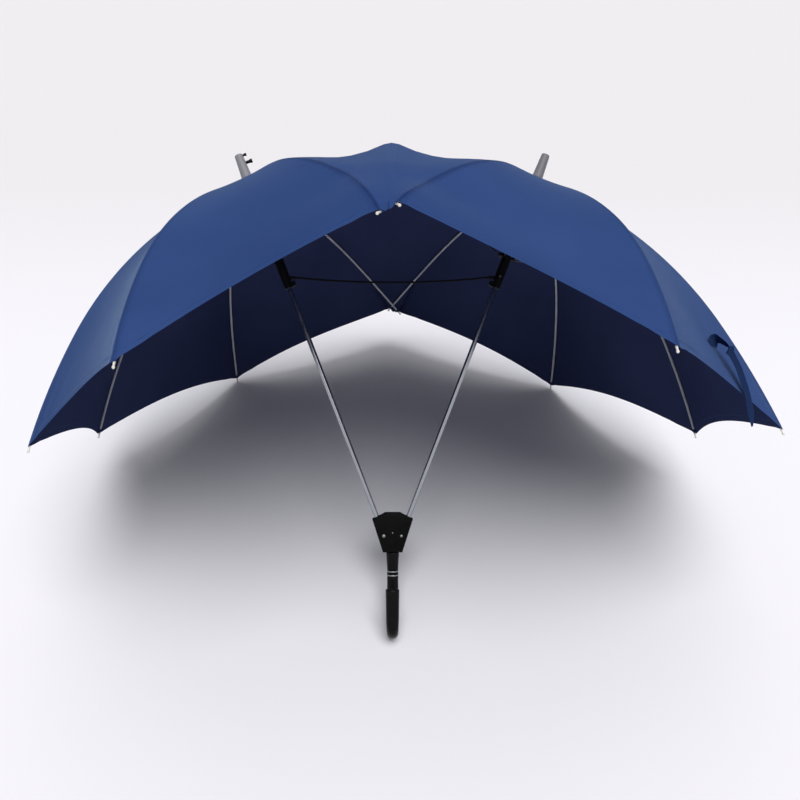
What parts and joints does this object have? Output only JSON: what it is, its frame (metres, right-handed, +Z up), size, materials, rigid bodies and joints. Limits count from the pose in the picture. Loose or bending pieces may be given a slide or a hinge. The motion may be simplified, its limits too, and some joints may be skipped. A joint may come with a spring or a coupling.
{
  "type": "couples umbrella",
  "caption": "Shared umbrella: paired blue canopies on splayed steel shafts that pivot in one bracket above a black hook grip; both canopies fold together.",
  "frame": {"origin": "centre of the footprint of the open umbrella as it stands on the floor, on its hook and its lowest rear ribs", "axes": "+X from the left crown to the right crown, the longest extent; +Y away from the hook's open side; +Z up"},
  "size_m": [1.128, 0.8178, 0.7681],
  "materials": {
    "steel": "satin nickel plate",
    "dark_steel": "dark plated steel",
    "black_plastic": "matt black",
    "finial_silver": "silver grey, satin",
    "finial_grey": "mid grey, satin",
    "cloth_blue": "plain weave polyester, blue outside and very dark navy inside",
    "strap_blue": "plain weave, darker blue",
    "cord_black": "braided black cord"
  },
  "bodies": {
    "handle": {"handle_grip": "black_plastic", "handle_neck": "black_plastic", "handle_collar": "black_plastic", "ring_upper": "steel", "ring_lower": "steel", "bracket_front": "black_plastic", "bracket_rear": "black_plastic", "bracket_screw": "steel", "pivot_pin_left": "steel", "pivot_pin_right": "steel"},
    "shaft_left": {"shaft_left": "steel", "crown_left": "black_plastic", "crown_cap_left": "black_plastic", "finial_left": "finial_silver", "canopy_left": "cloth_blue", "finial_knob_left": "black_plastic", "finial_peg_left": "black_plastic", "link_cord": "cord_black"},
    "runner_left": {"runner_left": "black_plastic", "runner_rivet_left": "steel"},
    "latch_left": {"latch_left": "black_plastic"},
    "rib_left_front_centre": {"rib_left_front_centre": "steel"},
    "stretcher_left_front_centre": {"stretcher_left_front_centre": "dark_steel"},
    "rib_left_front_corner": {"rib_left_front_corner": "steel"},
    "stretcher_left_front_corner": {"stretcher_left_front_corner": "dark_steel"},
    "rib_left_front_end": {"rib_left_front_end": "steel"},
    "stretcher_left_front_end": {"stretcher_left_front_end": "dark_steel"},
    "rib_left_rear_end": {"rib_left_rear_end": "steel"},
    "stretcher_left_rear_end": {"stretcher_left_rear_end": "dark_steel"},
    "rib_left_rear_corner": {"rib_left_rear_corner": "steel"},
    "stretcher_left_rear_corner": {"stretcher_left_rear_corner": "dark_steel"},
    "rib_left_rear_centre": {"rib_left_rear_centre": "steel"},
    "stretcher_left_rear_centre": {"stretcher_left_rear_centre": "dark_steel"},
    "batten_left_front": {"batten_left_front": "steel"},
    "batten_left_rear": {"batten_left_rear": "steel"},
    "shaft_right": {"shaft_right": "steel", "crown_right": "black_plastic", "crown_cap_right": "black_plastic", "finial_right": "finial_grey", "canopy_right": "cloth_blue"},
    "runner_right": {"runner_right": "black_plastic", "runner_rivet_right": "steel"},
    "latch_right": {"latch_right": "black_plastic"},
    "rib_right_front_centre": {"rib_right_front_centre": "steel"},
    "stretcher_right_front_centre": {"stretcher_right_front_centre": "dark_steel"},
    "rib_right_front_corner": {"rib_right_front_corner": "steel"},
    "stretcher_right_front_corner": {"stretcher_right_front_corner": "dark_steel"},
    "rib_right_front_end": {"rib_right_front_end": "steel", "tie_strap": "strap_blue"},
    "stretcher_right_front_end": {"stretcher_right_front_end": "dark_steel"},
    "rib_right_rear_end": {"rib_right_rear_end": "steel"},
    "stretcher_right_rear_end": {"stretcher_right_rear_end": "dark_steel"},
    "rib_right_rear_corner": {"rib_right_rear_corner": "steel"},
    "stretcher_right_rear_corner": {"stretcher_right_rear_corner": "dark_steel"},
    "rib_right_rear_centre": {"rib_right_rear_centre": "steel"},
    "stretcher_right_rear_centre": {"stretcher_right_rear_centre": "dark_steel"},
    "batten_right_front": {"batten_right_front": "steel"},
    "batten_right_rear": {"batten_right_rear": "steel"}
  },
  "joints": [
    {"name": "splay_left", "type": "hinge", "parent": "handle", "child": "shaft_left", "pos_m": [-0.0229, -0.24856, 0.11294], "axis": [0.0054, 0.7373, -0.6755], "range_deg": [0, 17.93]},
    {"name": "runner_slide_left", "type": "slide", "parent": "shaft_left", "child": "runner_left", "axis": [0.3628, -0.631, -0.6858], "range_m": [0, 0.325], "deforming": ["canopy_left", "link_cord"]},
    {"name": "latch_press_left", "type": "slide", "parent": "runner_left", "child": "latch_left", "axis": [-0.9319, -0.2413, -0.2709], "range_m": [0, 0.002], "stiffness_N_per_m": 300},
    {"name": "rib_left_front_centre_fold", "type": "hinge", "parent": "shaft_left", "child": "rib_left_front_centre", "pos_m": [-0.24619, 0.13928, 0.54833], "axis": [0.8764, 0.4811, 0.021], "range_deg": [0, 65.31]},
    {"name": "stretcher_left_front_centre_pivot", "type": "hinge", "parent": "rib_left_front_centre", "child": "stretcher_left_front_centre", "pos_m": [-0.15943, -0.03024, 0.67518], "axis": [0.8764, 0.4811, 0.021], "range_deg": [-125.36, 0]},
    {"name": "rib_left_front_corner_fold", "type": "hinge", "parent": "shaft_left", "child": "rib_left_front_corner", "pos_m": [-0.2532, 0.13765, 0.54612], "axis": [0.8491, -0.0794, 0.5222], "range_deg": [0, 59.82]},
    {"name": "stretcher_left_front_corner_pivot", "type": "hinge", "parent": "rib_left_front_corner", "child": "stretcher_left_front_corner", "pos_m": [-0.31843, -0.07762, 0.61399], "axis": [0.8491, -0.0794, 0.5222], "range_deg": [-120.73, 0]},
    {"name": "rib_left_front_end_fold", "type": "hinge", "parent": "shaft_left", "child": "rib_left_front_end", "pos_m": [-0.25795, 0.14026, 0.54121], "axis": [0.3606, -0.5835, 0.7277], "range_deg": [0, 56.26]},
    {"name": "stretcher_left_front_end_pivot", "type": "hinge", "parent": "rib_left_front_end", "child": "stretcher_left_front_end", "pos_m": [-0.42726, -0.02141, 0.49156], "axis": [0.3606, -0.5835, 0.7277], "range_deg": [-117.47, 0]},
    {"name": "rib_left_rear_end_fold", "type": "hinge", "parent": "shaft_left", "child": "rib_left_rear_end", "pos_m": [-0.25789, 0.1461, 0.53587], "axis": [-0.3766, -0.7724, 0.5115], "range_deg": [0, 59.08]},
    {"name": "stretcher_left_rear_end_pivot", "type": "hinge", "parent": "rib_left_rear_end", "child": "stretcher_left_rear_end", "pos_m": [-0.42629, 0.11686, 0.37331], "axis": [-0.3766, -0.7724, 0.5115], "range_deg": [-120.64, 0]},
    {"name": "rib_left_rear_corner_fold", "type": "hinge", "parent": "shaft_left", "child": "rib_left_rear_corner", "pos_m": [-0.2531, 0.15112, 0.53378], "axis": [-0.8535, -0.5204, 0.0273], "range_deg": [0, 62.93]},
    {"name": "stretcher_left_rear_corner_pivot", "type": "hinge", "parent": "rib_left_rear_corner", "child": "stretcher_left_rear_corner", "pos_m": [-0.32, 0.24486, 0.3333], "axis": [-0.8535, -0.5204, 0.0273], "range_deg": [-121.82, 0]},
    {"name": "rib_left_rear_centre_fold", "type": "hinge", "parent": "shaft_left", "child": "rib_left_rear_centre", "pos_m": [-0.24611, 0.15312, 0.53564], "axis": [-0.8732, 0.0267, -0.4865], "range_deg": [0, 64.8]},
    {"name": "stretcher_left_rear_centre_pivot", "type": "hinge", "parent": "rib_left_rear_centre", "child": "stretcher_left_rear_centre", "pos_m": [-0.15479, 0.28804, 0.3733], "axis": [-0.8732, 0.0267, -0.4865], "range_deg": [-127.86, 0]},
    {"name": "batten_left_front_fold", "type": "hinge", "parent": "shaft_left", "child": "batten_left_front", "pos_m": [-0.24077, 0.14478, 0.54614], "axis": [0.3616, 0.7735, -0.5205], "range_deg": [0, 75.66]},
    {"name": "batten_left_rear_fold", "type": "hinge", "parent": "shaft_left", "child": "batten_left_rear", "pos_m": [-0.24073, 0.15042, 0.54097], "axis": [-0.3516, 0.5888, -0.7278], "range_deg": [0, 76.51]},
    {"name": "splay_right", "type": "hinge", "parent": "handle", "child": "shaft_right", "pos_m": [0.00618, -0.24856, 0.11317], "axis": [-0.0054, -0.7373, 0.6755], "range_deg": [0, 17.93]},
    {"name": "runner_slide_right", "type": "slide", "parent": "shaft_right", "child": "runner_right", "axis": [-0.3517, -0.631, -0.6915], "range_m": [0, 0.325], "deforming": ["canopy_right"]},
    {"name": "latch_press_right", "type": "slide", "parent": "runner_right", "child": "latch_right", "axis": [0.9361, -0.2413, -0.2559], "range_m": [0, 0.002], "stiffness_N_per_m": 300},
    {"name": "rib_right_front_centre_fold", "type": "hinge", "parent": "shaft_right", "child": "rib_right_front_centre", "pos_m": [0.22245, 0.13928, 0.5521], "axis": [0.8767, -0.4811, -0.0069], "range_deg": [0, 64.89]},
    {"name": "stretcher_right_front_centre_pivot", "type": "hinge", "parent": "rib_right_front_centre", "child": "stretcher_right_front_centre", "pos_m": [0.12734, -0.02985, 0.67467], "axis": [0.8767, -0.4811, -0.0069], "range_deg": [-126.29, 0]},
    {"name": "rib_right_front_corner_fold", "type": "hinge", "parent": "shaft_right", "child": "rib_right_front_corner", "pos_m": [0.22946, 0.13765, 0.55002], "axis": [0.8587, 0.0767, -0.5067], "range_deg": [0, 62.23]},
    {"name": "stretcher_right_front_corner_pivot", "type": "hinge", "parent": "rib_right_front_corner", "child": "stretcher_right_front_corner", "pos_m": [0.29015, -0.07292, 0.62661], "axis": [0.8587, 0.0767, -0.5067], "range_deg": [-122.41, 0]},
    {"name": "rib_right_front_end_fold", "type": "hinge", "parent": "shaft_right", "child": "rib_right_front_end", "pos_m": [0.23438, 0.14034, 0.54507], "axis": [0.3602, 0.5906, -0.7221], "range_deg": [0, 61.08], "deforming": ["tie_strap"]},
    {"name": "stretcher_right_front_end_pivot", "type": "hinge", "parent": "rib_right_front_end", "child": "stretcher_right_front_end", "pos_m": [0.40613, -0.01358, 0.50882], "axis": [0.3602, 0.5906, -0.7221], "range_deg": [-121.55, 0]},
    {"name": "rib_right_rear_end_fold", "type": "hinge", "parent": "shaft_right", "child": "rib_right_rear_end", "pos_m": [0.23448, 0.14579, 0.54004], "axis": [-0.3335, 0.7747, -0.5373], "range_deg": [0, 59.38]},
    {"name": "stretcher_right_rear_end_pivot", "type": "hinge", "parent": "rib_right_rear_end", "child": "stretcher_right_rear_end", "pos_m": [0.40642, 0.11399, 0.3822], "axis": [-0.3335, 0.7747, -0.5373], "range_deg": [-121.22, 0]},
    {"name": "rib_right_rear_corner_fold", "type": "hinge", "parent": "shaft_right", "child": "rib_right_rear_corner", "pos_m": [0.22974, 0.15103, 0.53767], "axis": [-0.8461, 0.5303, -0.0536], "range_deg": [0, 61.13]},
    {"name": "stretcher_right_rear_corner_pivot", "type": "hinge", "parent": "rib_right_rear_corner", "child": "stretcher_right_rear_corner", "pos_m": [0.29476, 0.2393, 0.33146], "axis": [-0.8461, 0.5303, -0.0536], "range_deg": [-122.64, 0]},
    {"name": "rib_right_rear_centre_fold", "type": "hinge", "parent": "shaft_right", "child": "rib_right_rear_centre", "pos_m": [0.22257, 0.15312, 0.53941], "axis": [-0.881, -0.0267, 0.4724], "range_deg": [0, 65.17]},
    {"name": "stretcher_right_rear_centre_pivot", "type": "hinge", "parent": "rib_right_rear_centre", "child": "stretcher_right_rear_centre", "pos_m": [0.13009, 0.29047, 0.38076], "axis": [-0.881, -0.0267, 0.4724], "range_deg": [-126.9, 0]},
    {"name": "batten_right_front_fold", "type": "hinge", "parent": "shaft_right", "child": "batten_right_front", "pos_m": [0.21707, 0.14478, 0.54982], "axis": [0.3532, -0.7735, 0.5262], "range_deg": [0, 76.51]},
    {"name": "batten_right_rear_fold", "type": "hinge", "parent": "shaft_right", "child": "batten_right_rear", "pos_m": [0.21711, 0.15042, 0.54465], "axis": [-0.3632, -0.5888, 0.722], "range_deg": [0, 75.66]}
  ],
  "couplings": [
    {"joint": "splay_left", "follows": "runner_slide_left", "rad_per_m": 0.96287},
    {"joint": "rib_left_front_centre_fold", "follows": "runner_slide_left", "rad_per_m": 3.5072},
    {"joint": "stretcher_left_front_centre_pivot", "follows": "runner_slide_left", "rad_per_m": -6.7319},
    {"joint": "rib_left_front_corner_fold", "follows": "runner_slide_left", "rad_per_m": 3.2126},
    {"joint": "stretcher_left_front_corner_pivot", "follows": "runner_slide_left", "rad_per_m": -6.4832},
    {"joint": "rib_left_front_end_fold", "follows": "runner_slide_left", "rad_per_m": 3.0214},
    {"joint": "stretcher_left_front_end_pivot", "follows": "runner_slide_left", "rad_per_m": -6.3083},
    {"joint": "rib_left_rear_end_fold", "follows": "runner_slide_left", "rad_per_m": 3.1726},
    {"joint": "stretcher_left_rear_end_pivot", "follows": "runner_slide_left", "rad_per_m": -6.4787},
    {"joint": "rib_left_rear_corner_fold", "follows": "runner_slide_left", "rad_per_m": 3.3792},
    {"joint": "stretcher_left_rear_corner_pivot", "follows": "runner_slide_left", "rad_per_m": -6.542},
    {"joint": "rib_left_rear_centre_fold", "follows": "runner_slide_left", "rad_per_m": 3.4796},
    {"joint": "stretcher_left_rear_centre_pivot", "follows": "runner_slide_left", "rad_per_m": -6.8662},
    {"joint": "batten_left_front_fold", "follows": "runner_slide_left", "rad_per_m": 4.0628},
    {"joint": "batten_left_rear_fold", "follows": "runner_slide_left", "rad_per_m": 4.109},
    {"joint": "splay_right", "follows": "runner_slide_left", "rad_per_m": 0.96287},
    {"joint": "runner_slide_right", "follows": "runner_slide_left", "ratio": 1},
    {"joint": "rib_right_front_centre_fold", "follows": "runner_slide_left", "rad_per_m": 3.4848},
    {"joint": "stretcher_right_front_centre_pivot", "follows": "runner_slide_left", "rad_per_m": -6.7821},
    {"joint": "rib_right_front_corner_fold", "follows": "runner_slide_left", "rad_per_m": 3.3417},
    {"joint": "stretcher_right_front_corner_pivot", "follows": "runner_slide_left", "rad_per_m": -6.5737},
    {"joint": "rib_right_front_end_fold", "follows": "runner_slide_left", "rad_per_m": 3.2802},
    {"joint": "stretcher_right_front_end_pivot", "follows": "runner_slide_left", "rad_per_m": -6.5274},
    {"joint": "rib_right_rear_end_fold", "follows": "runner_slide_left", "rad_per_m": 3.1889},
    {"joint": "stretcher_right_rear_end_pivot", "follows": "runner_slide_left", "rad_per_m": -6.5095},
    {"joint": "rib_right_rear_corner_fold", "follows": "runner_slide_left", "rad_per_m": 3.2826},
    {"joint": "stretcher_right_rear_corner_pivot", "follows": "runner_slide_left", "rad_per_m": -6.5859},
    {"joint": "rib_right_rear_centre_fold", "follows": "runner_slide_left", "rad_per_m": 3.4995},
    {"joint": "stretcher_right_rear_centre_pivot", "follows": "runner_slide_left", "rad_per_m": -6.8148},
    {"joint": "batten_right_front_fold", "follows": "runner_slide_left", "rad_per_m": 4.109},
    {"joint": "batten_right_rear_fold", "follows": "runner_slide_left", "rad_per_m": 4.0628}
  ]
}
